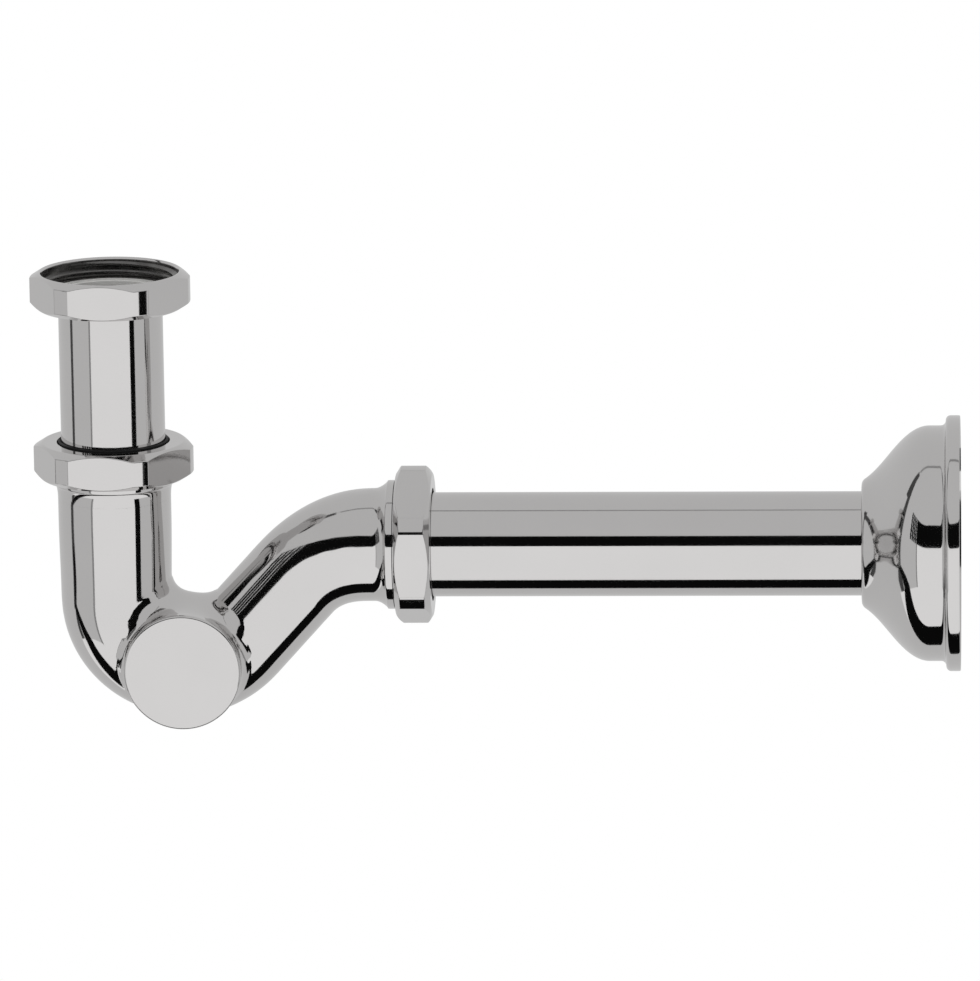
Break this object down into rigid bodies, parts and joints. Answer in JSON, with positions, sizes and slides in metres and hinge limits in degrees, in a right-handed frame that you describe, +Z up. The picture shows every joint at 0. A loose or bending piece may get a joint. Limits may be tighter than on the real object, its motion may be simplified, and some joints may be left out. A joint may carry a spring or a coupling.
{
  "type": "bidet trap",
  "caption": "Chrome bidet trap: union nut and adjusting inlet tube on a cast S-shaped body with a front cleanout cap, slip nuts, a horizontal wall tube and a bell-shaped wall flange.",
  "frame": {"origin": "the sealing plane in the union nut, on the inlet axis: the top face of the inlet gasket", "axes": "+Z up along the inlet, +X along the outlet tube to the wall, -Y the cleanout side"},
  "size_m": [0.2842, 0.0784, 0.1412],
  "materials": {
    "chrome": "mirror chrome plating on brass",
    "black_rubber": "matt black rubber",
    "black_plastic": "black moulded plastic",
    "grey_rubber": "matt grey rubber"
  },
  "bodies": {
    "union_nut": {"union_nut": "chrome"},
    "inlet_tube": {"inlet_tube": "chrome", "inlet_gasket": "grey_rubber"},
    "inlet_slip_washer": {"inlet_slip_washer": "black_rubber"},
    "trap_body": {"trap_body": "chrome", "outlet_slip_washer": "black_rubber"},
    "inlet_friction_ring": {"inlet_friction_ring": "black_plastic"},
    "inlet_slip_nut": {"inlet_slip_nut": "chrome"},
    "outlet_friction_ring": {"outlet_friction_ring": "black_plastic"},
    "outlet_slip_nut": {"outlet_slip_nut": "chrome"},
    "cleanout_seal": {"cleanout_seal": "black_rubber"},
    "cleanout_cap": {"cleanout_cap": "chrome"},
    "outlet_tube": {"outlet_tube": "chrome"},
    "wall_flange": {"wall_flange": "chrome"}
  },
  "joints": [
    {"name": "union_swivel", "type": "hinge", "parent": "union_nut", "child": "inlet_tube", "pos_m": [0, 0, 0], "axis": [0, 0, 1], "continuous": true},
    {"name": "height_slide", "type": "slide", "parent": "inlet_tube", "child": "inlet_slip_washer", "axis": [0, 0, 1], "range_m": [-0.008, 0.015]},
    {"name": "trap_swivel", "type": "hinge", "parent": "inlet_slip_washer", "child": "trap_body", "pos_m": [0, 0, -0.0505], "axis": [0, 0, 1], "continuous": true},
    {"name": "inlet_ring_lift", "type": "slide", "parent": "trap_body", "child": "inlet_friction_ring", "axis": [0, 0, 1], "range_m": [0, 0.0082]},
    {"name": "inlet_nut_turn", "type": "hinge", "parent": "inlet_friction_ring", "child": "inlet_slip_nut", "pos_m": [0, 0, -0.047], "axis": [0, 0, 1], "range_deg": [0, 1260]},
    {"name": "outlet_ring_lift", "type": "slide", "parent": "trap_body", "child": "outlet_friction_ring", "axis": [1, 0, 0], "range_m": [0, 0.0082]},
    {"name": "outlet_nut_turn", "type": "hinge", "parent": "outlet_friction_ring", "child": "outlet_slip_nut", "pos_m": [0.0978, 0, -0.08], "axis": [1, 0, 0], "range_deg": [0, 1260]},
    {"name": "cap_lift", "type": "slide", "parent": "trap_body", "child": "cleanout_seal", "axis": [0, -1, 0], "range_m": [0, 0.0076]},
    {"name": "cap_turn", "type": "hinge", "parent": "cleanout_seal", "child": "cleanout_cap", "pos_m": [0.0215, -0.0186, -0.1149], "axis": [0, -1, 0], "range_deg": [0, 1800]},
    {"name": "outlet_slide", "type": "slide", "parent": "trap_body", "child": "outlet_tube", "axis": [1, 0, 0], "range_m": [-0.003, 0.005]},
    {"name": "wall_flange_slide", "type": "slide", "parent": "outlet_tube", "child": "wall_flange", "axis": [1, 0, 0], "range_m": [-0.115, 0]}
  ],
  "couplings": [
    {"joint": "inlet_ring_lift", "follows": "inlet_nut_turn", "m_per_rad": 0.00036749},
    {"joint": "outlet_ring_lift", "follows": "outlet_nut_turn", "m_per_rad": 0.00036749},
    {"joint": "cap_lift", "follows": "cap_turn", "m_per_rad": 0.00023873}
  ]
}
